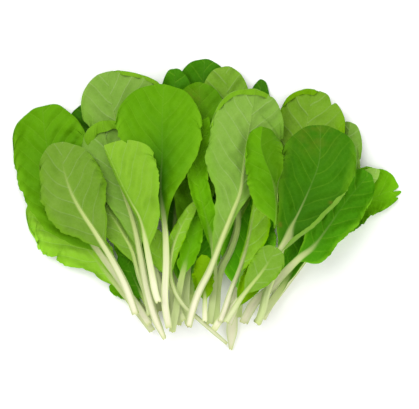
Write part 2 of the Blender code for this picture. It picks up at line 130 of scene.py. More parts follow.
LEAVES = [
    leaf("leaf_back_left", DARK,
         [(-36, 28), (-52, 66), (-68, 107), (-82, 147), (-94, 182)], 0.34,
         (12, 17, 19, 17), (12, 17, 19, 17), small=True),
    leaf("leaf_back_right_tip", DARK,
         [(16, 0), (17, 17), (18, 35), (23, 60), (30, 111), (34, 155), (39, 201)], 0.40,
         (9, 12, 12, 9), (9, 12, 12, 9), base=(8.6, 6.4), end=(2.6, 2.4), small=True),
    leaf("leaf_back_top", DARK,
         [(-23, 18), (-19, 45), (-12, 96), (-7, 155), (-3, 216)], 0.30,
         (12, 18, 23, 23), (12, 18, 22, 22)),
    leaf("leaf_back_top_left", DARK,
         [(-27, 20), (-26, 53), (-24, 111), (-25, 162), (-25, 209)], 0.32,
         (11, 15, 16, 12), (11, 15, 17, 14), small=True),
    leaf("leaflet_low_left", BRIGHT,
         [(-38, 20), (-50, 34), (-62, 44), (-74, 48)], 0.40,
         (3, 5, 6, 6), (3, 5, 6, 6), stalk=(2.6, 2.0), base=(3.6, 2.6), small=True),
    leaf("leaf_low_left", YOUNG,
         [(-41, 14), (-59, 38), (-80, 63), (-100, 88), (-116, 106), (-128, 119)], 0.30,
         (7, 16, 26, 24), (10, 16, 20, 18)),
    leaf("leaf_far_right", BRIGHT,
         [(43, 32), (55, 49), (74, 71), (96, 95), (118, 111), (142, 121)], 0.36,
         (6, 14, 21, 22), (7, 12, 16, 14)),
    leaf("leaf_inner_left_short", DARK,
         [(-40, 24), (-46, 44), (-51, 66), (-56, 90), (-62, 112)], 0.22,
         (10, 14, 16, 13), (10, 14, 16, 13), base=(5.0, 3.8), stalk=(4.0, 3.0), small=True),
    leaf("leaf_inner_centre_short", DARK,
         [(-12, 24), (-13, 44), (-10, 66), (-6, 90), (-2, 114)], 0.20,
         (12, 17, 19, 16), (12, 17, 19, 16), base=(5.0, 3.8), stalk=(4.0, 3.0), small=True),
    leaf("leaf_inner_right_short", DARK,
         [(22, 24), (23, 44), (26, 66), (31, 90), (38, 114)], 0.22,
         (12, 18, 20, 16), (12, 18, 20, 16), base=(5.0, 3.8), stalk=(4.0, 3.0), small=True),
    leaf("leaf_right_pale_back", PALE,
         [(39, 23), (59, 60), (81, 100), (98, 137), (104, 169)], 0.36,
         (9, 14, 17, 17), (9, 15, 18, 13)),
    leaf("leaf_right_pale_low", PALE,
         [(34, 20), (66, 62), (92, 98), (109, 120), (125, 133)], 0.40,
         (7, 10, 12, 9), (6, 9, 9, 7), small=True),
    leaf("leaf_right_inner", DARK,
         [(38, 26), (52, 45), (63, 65), (70, 82), (80, 101)], 0.30,
         (8, 11, 12, 11), (3, 5, 8, 9), small=True),
    leaf("leaf_top_pale", PALE,
         [(5, 18), (6, 45), (9, 61), (15, 73), (20, 88), (21, 100), (19, 126), (15, 162), (12, 210)], 0.40,
         (10, 15, 19, 20), (10, 15, 19, 17), stalk=(4.6, 3.6), base=(5.6, 4.6)),
    leaf("leaf_top_centre", BRIGHT,
         [(-15, 19), (-17, 38), (-15, 67), (-12, 104), (-9, 140), (-7, 169), (-7, 198)], 0.32,
         (10, 15, 19, 20), (10, 15, 20, 20)),
    leaf("leaf_top_left_pale", PALE,
         [(-29, 18), (-37, 53), (-49, 100), (-62, 147), (-71, 180), (-75, 206)], 0.36,
         (4, 7, 11, 20), (11, 20, 32, 42)),
    leaf("leaf_far_left", BRIGHT,
         [(-43, 19), (-66, 53), (-91, 88), (-109, 122), (-119, 151), (-123, 181)], 0.36,
         (15, 26, 27, 25), (13, 26, 30, 28)),
    leaf("leaf_low_frill", DARK,
         [(-39, 23), (-47, 38), (-56, 56), (-63, 74)], 0.30,
         (5, 8, 9, 8), (5, 8, 9, 8), stalk=(3.0, 2.4), base=(4.4, 3.2), small=True),
    leaf("leaf_thin_stalk", YOUNG,
         [(-18, 22), (-23, 34), (-30, 53), (-36, 71), (-42, 90)], 0.50,
         (4, 7, 8, 7), (4, 7, 8, 7), stalk=(2.8, 2.2), base=(3.8, 3.0), small=True),
    leaf("leaf_inner_jagged", BRIGHT,
         [(-27, 14), (-24, 31), (-21, 49), (-17, 66), (-12, 84), (-9, 105)], 0.46,
         (6, 7, 6.5, 5), (5, 7, 8, 6), stalk=(4.0, 3.2), base=(5.0, 4.0), small=True),
    leaf("leaf_inner_rooted", PALE,
         [(14, 5), (3, 15), (-7, 24), (-17, 33), (-24, 43), (-28, 55), (-28, 67), (-25, 80), (-19, 94),
          (-10, 110)],
         0.52, (3, 5, 5, 4), (3, 5, 6, 5), stalk=(3.0, 2.4), base=(2.6, 2.4), end=(1.8, 1.8), small=True),
    leaf("leaf_low_right", DARK,
         [(25, 20), (28, 27), (34, 37), (45, 47), (55, 58), (66, 69), (76, 77), (88, 93), (101, 111),
          (118, 131)],
         0.42, (8, 13, 17, 16), (14, 18, 18, 14), stalk=(4.6, 3.6), base=(7.0, 5.4)),
    leaf("leaf_top_right_pale", PALE,
         [(35, 20), (39, 31), (42, 44), (48, 60), (55, 85), (65, 126), (71, 162), (76, 193)], 0.36,
         (10, 18, 22, 22), (10, 20, 27, 28), stalk=(4.6, 3.6), base=(5.6, 4.6)),
    leaf("leaf_inner_narrow", BRIGHT,
         [(0, 20), (3, 43), (4, 65), (2, 82), (-2, 98), (-6, 114), (-9, 130), (-7, 148), (-1, 172)], 0.30,
         (3, 5, 7, 7), (6, 8, 8, 9), stalk=(3.6, 2.8), base=(5.0, 4.0)),
    leaf("leaflet_centre", YOUNG,
         [(-3, 22), (-3, 38), (-4, 53), (-4, 72)], 0.32,
         (5, 7, 8, 6), (5, 7, 8, 6), stalk=(2.8, 2.2), base=(4.0, 3.0), small=True),
    leaf("leaf_left_inner", PALE,
         [(-43, 26), (-46, 42), (-51, 56), (-56, 74), (-64, 89), (-72, 102), (-80, 120)], 0.38,
         (6, 10, 13, 12), (6, 10, 13, 12), stalk=(3.2, 2.6), base=(4.4, 3.4), small=True),
    leaf("leaf_left_pale_inner", PALE,
         [(-32, 9), (-39, 25), (-45, 45), (-50, 71), (-55, 95), (-64, 122), (-73, 147), (-78, 169)], 0.40,
         (6, 12, 17, 18), (7, 16, 22, 22), stalk=(4.6, 3.6), base=(5.6, 4.4), end=(2.8, 2.6)),
    leaf("leaf_centre_large", BRIGHT,
         [(-29, 17), (-32, 38), (-31, 67), (-32, 93), (-35, 118), (-34, 144), (-34, 171), (-33, 196)], 0.38,
         (4, 16, 28, 34), (4, 15, 26, 29), stalk=(4.0, 3.4), base=(5.0, 4.2)),
    leaf("leaf_left_front", PALE,
         [(-53, 27), (-61, 49), (-72, 70), (-83, 88), (-94, 105), (-101, 119), (-106, 136), (-107, 154)], 0.38,
         (11, 21, 23, 18), (9, 20, 27, 24), stalk=(4.2, 3.4), base=(6.0, 4.8)),
    leaf("leaf_centre_pale", PALE,
         [(-15, 18), (-12, 31), (-7, 45), (1, 61), (9, 82), (17, 102), (23, 118), (26, 140), (30, 167),
          (34, 193)], 0.28,
         (8, 16, 28, 27), (2.6, 5, 16, 26), stalk=(4.4, 3.6), base=(5.2, 4.2)),
    leaf("leaf_left_folded", YOUNG,
         [(-36, 36), (-39, 45), (-43, 66), (-46, 82), (-50, 98), (-57, 111), (-65, 127), (-76, 151)], 0.32,
         (1, 2, 2, 2), (9, 18, 27, 30), stalk=(4.0, 3.4), base=(5.0, 4.0)),
    leaf("leaf_right_large", DARK,
         [(3, 16), (9, 25), (23, 40), (36, 56), (52, 76), (59, 91), (65, 102), (74, 122), (80, 140),
          (81, 166)],
         0.42, (8, 17, 25, 27), (8, 17, 25, 27), stalk=(4.2, 3.4), base=(5.0, 4.2)),
    leaf("leaf_right_young", YOUNG_BACK,
         [(8, 22), (12, 33), (16, 45), (22, 60), (27.5, 77), (31, 94), (33, 106), (35, 122)], 0.36,
         (2, 2, 2, 2), (6, 12, 14, 10), stalk=(3.0, 2.6), base=(4.8, 3.8), small=True),
    leaf("leaflet_right_frill", YOUNG,
         [(15, 20), (20, 32), (26, 45), (32, 58), (36, 68)], 0.28,
         (3, 6, 7, 6), (4, 8, 9, 7), stalk=(2.4, 2.0), base=(3.2, 2.6), small=True),
    leaf("leaf_right_round", PALE,
         [(12, 22), (18, 32), (23, 40), (30, 49), (38, 59), (44, 68), (49, 77)], 0.38,
         (5, 9, 11, 11), (5, 9, 11, 11), stalk=(3.0, 2.4), base=(4.6, 3.4), small=True),
    leaf("leaf_right_front", BRIGHT,
         [(47.5, 90), (48.5, 101), (48, 113), (45, 128), (40, 141), (37.5, 152), (39, 165)], 0.05,
         (13, 18, 17, 11), (1.2, 3, 11, 16), stalk=(2.4, 2.0), base=(2.4, 2.0), end=(1.6, 1.4)),
]

Finish = namedtuple("Finish", "tone halves fresh green midrib hollow fringe rolls nicks stains")


def finish(tone=0.0, halves=(0.0, 0.0), fresh=0.0, green=0.1, midrib=0.5, hollow=0.3, fringe=1.5, rolls=(),
           nicks=(), stains=()):
    """How bright, strong in colour and frilled a leaf is, and where it curls, is torn and is stained.

    tone is the whole blade's brightness, its own and, for leaves that lie in the
    shade of others, painted light; halves is the painted shade and light of its left and right
    halves. fresh is how much stronger its colour is, green how green its stalk, partly its own green
    and partly painted green light of the shade deep in the bunch, midrib how clear its line is above
    and hollow how much painted shade darkens the blade beside it, in the valley along the midrib.
    Sides are -1 for left and 1 for right, looking from base to tip, and 0 for the tip; places run
    from 0 where the blade starts to 1 at the tip, or across the tip from -1 to 1. A roll is (side,
    from, to, width in millimetres), and a nick (side, where, depth and reach as shares of the
    blade): a broad one trims the margin, and one with a depth below 0 swells it. A stain is (place
    across, place along, radius in millimetres, strength).
    """
    return Finish(tone, halves, fresh, green, midrib, hollow, fringe, rolls, nicks, stains)


FINISHES = {
    "front": {
        "leaf_left_front": finish(tone=-0.21, fresh=0.05, fringe=2.6,
                                  nicks=((1, 0.3, 0.08, 0.05), (-1, 0.2, 0.10, 0.04))),
        "leaf_left_folded": finish(midrib=1.6, fringe=1.3, nicks=((0, 0.5, 0.04, 0.03),)),
        "leaf_centre_large": finish(midrib=0.35, hollow=1.0, fringe=2.0),
        "leaf_centre_pale": finish(fringe=2.2, rolls=((0, -0.98, 0.5, 5.0), (-1, 0.78, 0.97, 4.0)),
                                   nicks=((1, 0.88, 0.45, 0.025), (-1, 0.09, 0.2, 0.02),
                                          (-1, 0.17, 0.12, 0.02), (-1, 0.25, 0.1, 0.02),
                                          (-1, 0.33, 0.07, 0.02)),
                                   stains=((-0.3, -0.99, 1.6, 0.9),)),
        # Its right half is darkened as painted shade, for a fold that turns it from the light
        "leaf_right_front": finish(halves=(0.05, -0.25), green=0.9, fringe=2.4, rolls=((1, 0.15, 0.55, 2.2),)),
        "leaf_right_large": finish(tone=-0.06, midrib=0.8, hollow=0.5, fringe=1.8, rolls=((1, 0.0, 0.7, 5.0),),
                                   stains=((-0.2, 0.93, 14.0, 0.3), (-0.75, 0.2, 1.4, 0.9),
                                           (0.7, 0.5, 1.2, 0.8))),
        # Its blade is brightened as painted light, where it lies in the shade of the leaves over it
        "leaf_right_young": finish(tone=0.5, fresh=0.1, green=0.05),
        "leaf_right_round": finish(tone=-0.04, fresh=0.05, green=0.4, fringe=2.2),
        "leaflet_right_frill": finish(tone=0.15, fresh=0.15, midrib=0.2, fringe=4.0),
    },
    "side": {
        "leaf_far_left": finish(tone=0.02, fringe=2.2, nicks=((-1, 0.7, -0.07, 0.12), (0, 0.45, -0.02, 0.25))),
        "leaf_low_left": finish(tone=0.5, green=0.3, fringe=4.0,
                                nicks=((-1, 0.3, 0.12, 0.03), (-1, 0.52, 0.10, 0.03), (-1, 0.38, -0.14, 0.07),
                                       (-1, 0.22, 0.28, 0.06))),
        "leaflet_low_left": finish(tone=0.5, fringe=5.0),
        "leaf_low_right": finish(tone=0.45, fringe=2.6, nicks=((1, 0.32, 0.33, 0.22),)),
        "leaf_far_right": finish(tone=0.4, fringe=3.0,
                                 nicks=((0, 0.1, 0.08, 0.08), (0, -0.85, 0.06, 0.05), (0, 0.5, 0.04, 0.06),
                                        (-1, 0.8, 0.12, 0.03), (-1, 0.9, -0.08, 0.2), (1, 0.7, 0.33, 0.35))),
        "leaf_right_pale_low": finish(tone=0.25, fringe=1.6),
        "leaf_right_pale_back": finish(fringe=1.4, nicks=((1, 0.7, 0.08, 0.04), (1, 0.88, 0.30, 0.10))),
        "leaf_right_inner": finish(tone=0.7, green=0.5, fringe=1.6),
    },
    "top": {
        "leaf_top_left_pale": finish(green=0.4, rolls=((0, 0.1, 0.95, 4.0),), nicks=((-1, 1.0, -0.2, 0.3),)),
        "leaf_top_centre": finish(tone=-0.1, green=0.6,
                                  stains=((-0.3, 0.9, 8.0, 0.35), (-0.2, 0.8, 1.3, 0.8))),
        "leaf_top_pale": finish(fresh=0.06, green=0.7),
        "leaf_top_right_pale": finish(tone=-0.08, fresh=0.08, green=0.6, fringe=1.2,
                                      rolls=((0, -0.95, 0.2, 5.0), (-1, 0.55, 0.9, 4.0)),
                                      nicks=((0, 0.55, 0.04, 0.06), (1, 0.86, 0.10, 0.03))),
    },
    "back": {
        "leaf_back_left": finish(tone=-0.2, green=0.5, fringe=1.6),
        "leaf_back_top_left": finish(tone=0.15, green=0.5, fringe=1.8),
        "leaf_back_top": finish(tone=0.05, green=0.5, fringe=1.6),
        "leaf_back_right_tip": finish(tone=-0.1, fringe=1.6),
    },
    "inner": {
        "leaf_left_pale_inner": finish(fringe=1.3, rolls=((0, -0.95, 1.0, 9.0), (-1, 0.7, 0.98, 5.0))),
        "leaf_left_inner": finish(fresh=0.05, green=0.5, fringe=1.6),
        "leaf_low_frill": finish(tone=0.1, green=0.6, fringe=5.0),
        "leaf_thin_stalk": finish(tone=0.4, green=0.4, fringe=1.8),
        "leaf_inner_jagged": finish(tone=0.4, green=0.6, midrib=0.2, hollow=0.0, fringe=5.0,
                                    nicks=((-1, 0.25, 0.3, 0.05), (1, 0.55, 0.2, 0.04))),
        "leaf_inner_rooted": finish(tone=0.25, fresh=0.08, green=0.3, fringe=2.4),
        "leaf_inner_narrow": finish(tone=0.3, green=0.6, midrib=0.2, hollow=0.0, fringe=4.5),
        "leaflet_centre": finish(tone=-0.05, fresh=0.15, midrib=0.2, fringe=5.0),
        # These three lie under the others: their high brightness is painted light, for the light that comes
        # through the leaves above
        "leaf_inner_left_short": finish(tone=1.1, green=0.7, fringe=1.8),
        "leaf_inner_centre_short": finish(tone=1.1, green=0.7, fringe=1.8),
        "leaf_inner_right_short": finish(tone=1.2, green=0.7, fringe=1.8),
    },
}


def smooth(value, start, end):
    """0 before start, 1 after end, and a smooth step between."""
    share = np.clip((value - start) / (end - start), 0.0, 1.0)
    return share * share * (3.0 - 2.0 * share)


def curve_through(points, steps=24):
    """A smooth line through the points, with its length measured along it."""
    p = np.array(points, dtype=float)
    p = np.vstack([2 * p[0] - p[1], p, 2 * p[-1] - p[-2]])
    t = np.linspace(0.0, 1.0, steps, endpoint=False)[:, None]
    runs = []
    for a, b, c, d in zip(p[:-3], p[1:-2], p[2:-1], p[3:]):
        bend = 2 * a - 5 * b + 4 * c - d
        runs.append(0.5 * (2 * b + (c - a) * t + bend * t**2 + (3 * b - a - 3 * c + d) * t**3))
    line = np.vstack(runs + [p[-2:-1]])
    along = np.concatenate([[0.0], np.cumsum(np.linalg.norm(np.diff(line, axis=0), axis=1))])
    return line, along


def finer(values, times):
    """The same values with evenly spaced steps put between each pair."""
    n = len(values)
    return np.interp(np.arange((n - 1) * times + 1) / times, np.arange(n), values)


def through(at, value, where, slope=None):
    """A smooth line through values, read at other places."""
    slope = np.gradient(value, at) if slope is None else slope
    k = np.clip(np.searchsorted(at, where, side="right") - 1, 0, len(at) - 2)
    span = at[k + 1] - at[k]
    t = np.clip((where - at[k]) / span, 0.0, 1.0)
    rise = value[k] * (1 + 2 * t) * (1 - t) ** 2 + value[k + 1] * t**2 * (3 - 2 * t)
    return rise + span * (slope[k] * t * (1 - t) ** 2 - slope[k + 1] * t**2 * (1 - t))


def calm_slope(at, value):
    """Slopes that keep a smooth line within the values it passes through."""
    span = np.diff(at)
    rise = np.diff(value) / span
    before, after = 2 * span[1:] + span[:-1], span[1:] + 2 * span[:-1]
    same = rise[:-1] * rise[1:] > 0.0
    low, high = np.where(same, rise[:-1], 1.0), np.where(same, rise[1:], 1.0)
    middle = np.where(same, (before + after) / (before / low + after / high), 0.0)
    return np.concatenate([rise[:1], middle, rise[-1:]])


def frame_rows(one):
    """The frame's row positions: 0 at the cut base, 1 where the blade starts, 2 at the tip."""
    stalk, blade = (4, 6) if one.small else (5, 9)
    low = np.linspace(0.0, 1.0, stalk + 1) ** ROW_CROWDING[0]
    high = 1.0 + np.linspace(0.0, 1.0, blade + 1)[1:] ** ROW_CROWDING[1]
    return np.concatenate([low, high])


def frame_columns(one):
    """The frame's column positions: -1 to 1 across the rib, and out to -2 and 2 at the margins."""
    rib = (-1.0, 0.0, 1.0) if one.small else (-1.0, -0.5, 0.0, 0.5, 1.0)
    return np.array([-2.0, -WING_COLUMN, *rib, WING_COLUMN, 2.0])


def fine_columns(one, wing_steps):
    """Columns for a fine leaf: few across the rib, many over each half of the blade."""
    wing = 1.0 + np.linspace(0.0, 1.0, wing_steps + 1)[1:]
    rib = np.linspace(-1.0, 1.0, 7 if one.small else 11)
    return np.concatenate([-wing[::-1], rib, wing])


def stalk_size(one, station, which, bare):
    """The stalk's width (0) or depth (1): narrow at a root end, thick above it, slim at the blade."""
    body = one.base[which] + (one.stalk[which] - one.base[which]) * np.clip(station / bare, 0.0, 1.0)
    return body + (one.end[which] - one.base[which]) * (1.0 - smooth(station, 0.0, CUT_END_LENGTH))


def plan(one, rows, columns, look=None):
    """Where each point of a leaf's grid lies from above, and its place on the leaf."""
    line, along = curve_through(one.spine)
    length = along[-1]
    bare = one.bare * length
    row, column = np.meshgrid(rows, columns, indexing="ij")
    blade = np.clip(row - 1.0, 0.0, 1.0)
    station = np.where(row < 1.0, row * bare, bare)
    share = np.clip(blade - TIP_SHARE * blade**3, 0.0, 1.0)
    half = 0.5 * stalk_size(one, station, 0, bare)
    rib = half + (RIB_END_HALF_WIDTH - half) * (1.0 - (1.0 - blade) ** RIB_TAPER[0])
    deep = stalk_size(one, station, 1, bare) - BLADE_THICKNESS
    depth = deep + (RIB_END_DEPTH - deep) * (1.0 - (1.0 - blade) ** RIB_TAPER[1])
    stations = np.array(WIDTH_STATIONS)
    left = through(stations, np.array((0.0, *one.left), dtype=float), share)
    right = through(stations, np.array((0.0, *one.right), dtype=float), share)
    wide = np.maximum(np.where(column < 0, left, right), rib + (FINE_LIP if look else STALK_LIP))
    if look:
        wide = rib + (wide - rib) * worn_margin(one, look, np.sign(column), blade)
    outer = np.clip(np.abs(column) - 1.0, 0.0, 1.0)
    reach = np.where(np.abs(column) <= 1.0, np.abs(column) * rib, rib + (wide - rib) * outer)
    offset = np.sign(column) * reach
    across = np.clip(offset / wide, -1.0, 1.0)
    drop = TIP_SHARE * blade**3 * (1.0 - np.sqrt(np.maximum(0.0, 1.0 - across**2)))
    if look:
        drop = drop + TIP_UNEVEN * look.fringe * blade**12 * (1.0 + wobble(2.6 * across, one.spine[-1][0]))
        drop = drop + smooth(blade, 0.75, 1.0) * dips(look, 0.0, across)
        offset = offset * (0.8 + 0.2 * rounded(station, CUT_RADIUS))
    where = np.where(row < 1.0, station, bare + (length - bare) * (blade - drop))
    if look:
        near_cut = 1.0 - smooth(station, 0.0, CUT_RAGGED_LENGTH)
        where = where + CUT_RAGGED * (1.0 + wobble(1.5 * column, one.spine[0][0])) * near_cut
    px, py = np.interp(where, along, line[:, 0]), np.interp(where, along, line[:, 1])
    ahead = np.minimum(where + DIRECTION_STRETCH, length)
    behind = np.maximum(where - DIRECTION_STRETCH, 0.0)
    dx = np.interp(ahead, along, line[:, 0]) - np.interp(behind, along, line[:, 0])
    dy = np.interp(ahead, along, line[:, 1]) - np.interp(behind, along, line[:, 1])
    norm = np.hypot(dx, dy)
    side = np.stack([dy / norm, -dx / norm])
    return {"x": px + offset * side[0], "y": py + offset * side[1], "side": side, "where": where,
            "station": station, "blade": blade, "across": across, "offset": offset, "rib": rib,
            "depth": depth, "wide": wide, "length": length, "bare": bare}


def plan_centre():
    """The middle of the whole bunch on the plan, which the frame puts at its origin."""
    plans = [plan(one, frame_rows(one), frame_columns(one)) for one in LEAVES]
    return [(min(p[k].min() for p in plans) + max(p[k].max() for p in plans)) / 2 for k in ("x", "y")]


CENTRE = plan_centre()


def sheet_height(one, coarse):
    """The height of the leaf's smooth side at each point of the frame's grid."""
    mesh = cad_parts[one.name].data
    tree = BVHTree.FromPolygons([v.co for v in mesh.vertices], [f.vertices for f in mesh.polygons])
    start = 1.0 if one.face == "upper" else -1.0
    height = np.zeros(coarse["x"].shape)
    middle = [n // 2 for n in height.shape]
    for here in np.ndindex(*height.shape):
        # A hundredth of the way to the next point inwards, so that every ray meets the leaf
        inward = tuple(k + int(np.sign(m - k)) for k, m in zip(here, middle))
        x, y = ((0.99 * coarse[k][here] + 0.01 * coarse[k][inward] - CENTRE[n]) * MM
                for n, k in enumerate("xy"))
        height[here] = tree.ray_cast(Vector((x, y, start)), Vector((0.0, 0.0, -start)))[0].z / MM
    return height


def fine_height(one, coarse, height, fine, columns):
    """The frame's heights carried smoothly to the fine grid, across the leaf and then along it."""
    coarse_columns, coarse_rows = frame_columns(one), frame_rows(one)
    across = np.zeros((len(coarse_rows), len(columns)))
    for i in range(len(coarse_rows)):
        offset = coarse["offset"][i]
        places = np.interp(columns, coarse_columns, offset)
        across[i] = through(offset, height[i], places, calm_slope(offset, height[i]))
    middle = len(coarse_columns) // 2
    at = coarse["where"][:, middle]
    line = fine["where"][:, len(columns) // 2]
    return np.stack([through(at, line_of, line, calm_slope(at, line_of)) for line_of in across.T], axis=1)


def wobble(value, seed):
    """A smooth uneven wave between about -1 and 1, from three sines that never meet."""
    return (np.sin(value + seed) + np.sin(2.3 * value + 1.7 * seed) + np.sin(4.1 * value + 2.9 * seed)) / 3.0


def worn_margin(one, look, side, blade):
    """How the margin is scalloped and torn, as a share of the half width."""
    seed = one.spine[-1][0] * 0.37 + side
    teeth = TEETH * wobble(34.0 * blade, seed + 1.0) * (0.6 + 0.6 * wobble(5.0 * blade, seed + 2.0))
    edge = 1.0 + look.fringe * (SCALLOP * wobble(9.0 * blade, seed) + teeth)
    return edge - dips(look, side, blade)


def dips(look, side, place):
    """How deep the nicks of one side are at a place along it."""
    return sum((depth * np.exp(-np.abs((place - where) / reach) ** 1.5) * (side == nick_side)
                for nick_side, where, depth, reach in look.nicks), start=0.0 * place)


def rounded(distance, radius):
    """0 at an end and 1 from the radius inwards, as a round edge rises."""
    return np.sqrt(1.0 - (1.0 - np.clip(distance / radius, 0.0, 1.0)) ** 2)


def vein_phase(p, spacing, seed):
    """Counts the side veins: whole numbers lie on veins that leave the midrib and bow to the tip."""
    out = np.abs(p["offset"])
    lean = out + VEIN_BOW * out**2
    swing = VEIN_WANDER * wobble(p["where"] / 31.0 + out / 19.0, seed)
    return (p["where"] - lean + swing) / spacing + VEIN_STAGGER * (p["offset"] > 0)


def leaf_surfaces(one, look, sizes):
    """The fine top and bottom of one leaf in millimetres, and what its finish reads at each point."""
    rows = finer(frame_rows(one), sizes.row_steps if not one.small else sizes.row_steps - 2)
    columns = fine_columns(one, sizes.wing_steps if not one.small else sizes.wing_steps * 2 // 3)
    coarse = plan(one, frame_rows(one), frame_columns(one))
    p = plan(one, rows, columns, look)
    phase = vein_phase(p, sizes.vein_spacing / MM, one.spine[0][0] * 0.71)
    sheet = fine_height(one, coarse, sheet_height(one, coarse), p, columns)
    sheet = sheet + blade_relief(one, look, p, phase, sizes)
    arc = np.sqrt(np.maximum(0.0, 1.0 - np.clip(p["offset"] / p["rib"], -1.0, 1.0) ** 2))
    ridge = p["depth"] * np.minimum(1.0, RIDGE_FULLNESS * arc) * (0.9 + 0.1 * arc)
    ridge = ridge * (0.7 + 0.3 * rounded(p["where"], CUT_RADIUS))
    thin = sizes.blade / MM
    if one.face == "upper":
        top, bottom = sheet, sheet - thin - ridge
    else:
        top, bottom = sheet + BLADE_THICKNESS + ridge, sheet + BLADE_THICKNESS - thin
    x, y, top, bottom = rolled(look, p, top, bottom)
    # The lowest leaves lie on the floor, never in it
    sunk = np.maximum(0.0, -np.minimum(top, bottom))
    top, bottom = top + sunk, bottom + sunk
    return {"x": x - CENTRE[0], "y": y - CENTRE[1], "top": top, "bottom": bottom, "vein": phase, "plan": p}


def blade_relief(one, look, p, phase, sizes):
    """How far the blade stands off its smooth sheet: quilted between veins, billowed, ruffled at the rim."""
    seed = one.spine[0][0] * 0.71 + one.spine[-1][1] * 0.13
    opened = smooth(p["blade"], 0.02, 0.3)
    wing = smooth(np.abs(p["offset"]) - p["rib"], 0.0, 5.0) * opened
    turn = 1.0 if one.face == "upper" else -1.0
    quilt = -turn * np.cos(2.0 * math.pi * phase) * (1.0 - 0.5 * np.abs(p["across"]))
    long, wide = BLISTER_LENGTHS
    blister = (BLISTER * look.fringe * wobble(p["where"] / long, seed + 1.0)
               * wobble(p["offset"] / wide, seed + 2.0))
    long, wide = BILLOW_LENGTHS
    billow = wobble(p["where"] / long, seed) * wobble(p["offset"] / wide + 1.0, seed + 2.0)
    rim = np.abs(p["across"]) ** 5 * opened * min(0.5 + 0.5 * look.fringe, RUFFLE_LIMIT)
    ruffle = rim * (1.0 + wobble(17.0 * p["blade"], seed + np.sign(p["offset"])))
    return ((quilt + blister) * sizes.pucker + billow * sizes.billow) / MM * wing + ruffle * sizes.ruffle / MM


def rolled(look, p, top, bottom):
    """Curls the stretches of margin that show their other side."""
    x, y = p["x"].copy(), p["y"].copy()
    ahead = np.stack([-p["side"][1], p["side"][0]])
    for side, start, end, width in look.rolls:
        along = p["across"] if side == 0 else p["blade"]
        span = smooth(along, start, start + 0.15) * (1.0 - smooth(along, end - 0.15, end))
        if side == 0:
            out, way = (p["blade"] - 1.0) * (p["length"] - p["bare"]), ahead
        else:
            out, way = np.abs(p["offset"]) - p["wide"], side * p["side"]
            span = span * (np.sign(p["offset"]) == side)
        hem = np.maximum(width * span * (1.0 + 0.25 * wobble(2.6 * along, width)), 0.01)
        radius = hem * ROLL_SHARE / math.pi
        # The blade reaches out by the hem first, so that its fold lies where the plain margin was
        reach = hem * (1.0 - smooth(-out, 0.0, 3.0 * width))
        out = out + reach + radius
        on = (out > 0.0) & (span > 0.02)
        angle = np.clip(out / radius, 0.0, math.pi)
        back = np.maximum(out - math.pi * radius, 0.0)
        shift = np.where(on, radius * np.sin(angle) - back - out, 0.0) + reach * (span > 0.02)
        x, y = x + shift * way[0], y + shift * way[1]
        lift = np.where(on, radius * (1.0 - np.cos(angle)) + ROLL_RISE * back, 0.0)
        over = np.where(on, np.cos(angle), 1.0)
        middle, half = (top + bottom) / 2 + lift, (top - bottom) / 2 * over
        top, bottom = middle + half, middle - half
    return x, y, top, bottom


def leaf_mesh(one, look, sizes, material):
    """Models one leaf: a grid given a wall, then set to the leaf's two surfaces."""
    surfaces = leaf_surfaces(one, look, sizes)
    rows, columns = surfaces["x"].shape
    bpy.ops.object.select_all(action="DESELECT")
    bpy.ops.mesh.primitive_grid_add(x_subdivisions=columns - 1, y_subdivisions=rows - 1, size=1.0)
    piece = bpy.context.object
    piece.name = piece.data.name = one.name.replace("leaf", "fine_leaf", 1)
    wall = piece.modifiers.new("Wall", "SOLIDIFY")
    wall.thickness, wall.offset = 0.01, -1.0
    bpy.ops.object.modifier_apply(modifier=wall.name)
    mesh = piece.data
    place = np.zeros(len(mesh.vertices) * 3)
    mesh.vertices.foreach_get("co", place)
    place = place.reshape(-1, 3)
    i = np.rint((place[:, 1] + 0.5) * (rows - 1)).astype(int)
    j = np.rint((place[:, 0] + 0.5) * (columns - 1)).astype(int)
    is_top = place[:, 2] > -0.005
    z = np.where(is_top, surfaces["top"][i, j], surfaces["bottom"][i, j])
    place = np.stack([surfaces["x"][i, j], surfaces["y"][i, j], z], axis=1) * MM
    mesh.vertices.foreach_set("co", place.ravel())
    p = surfaces["plan"]
    values = {"vein": surfaces["vein"], "stain": stained(look, p), **finish_values(look, p)}
    values = {name: value[i, j] for name, value in values.items()}
    skin = np.where(is_top == (one.face == "upper"), 1.0, 0.0)
    above, below = values.pop("above"), values.pop("below")
    values["skin"], values["pale"] = skin, below + (above - below) * skin
    for name, value in values.items():
        mesh.attributes.new(name, "FLOAT", "POINT").data.foreach_set("value", value.astype(np.float32))
    lay_out_grain(mesh, p["offset"][i, j], p["where"][i, j])
    mesh.materials.append(material)
    bpy.ops.object.select_all(action="DESELECT")
    piece.select_set(True)
    bpy.context.view_layer.objects.active = piece
    bpy.ops.object.mode_set(mode="EDIT")
    bpy.ops.mesh.select_all(action="SELECT")
    bpy.ops.mesh.normals_make_consistent(inside=False)
    bpy.ops.object.mode_set(mode="OBJECT")
    bpy.ops.object.shade_smooth_by_angle(angle=math.radians(60.0))
    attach(piece, "root")
    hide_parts(one.name)


def along_leaf(p):
    """The place along a leaf: -1 at the cut base, 0 where the blade starts and 1 at the tip."""
    return p["blade"] - (1.0 - p["station"] / p["bare"])


def stained(look, p):
    """How strongly each point of a leaf's grid is stained."""
    stain = np.zeros(p["blade"].shape)
    for across, where, radius, strength in look.stains:
        along = (along_leaf(p) - where) * (p["length"] - p["bare"])
        aside = (p["across"] - across) * p["wide"]
        stain = stain + strength * np.exp(-(aside**2 + along**2) / radius**2)
    return stain


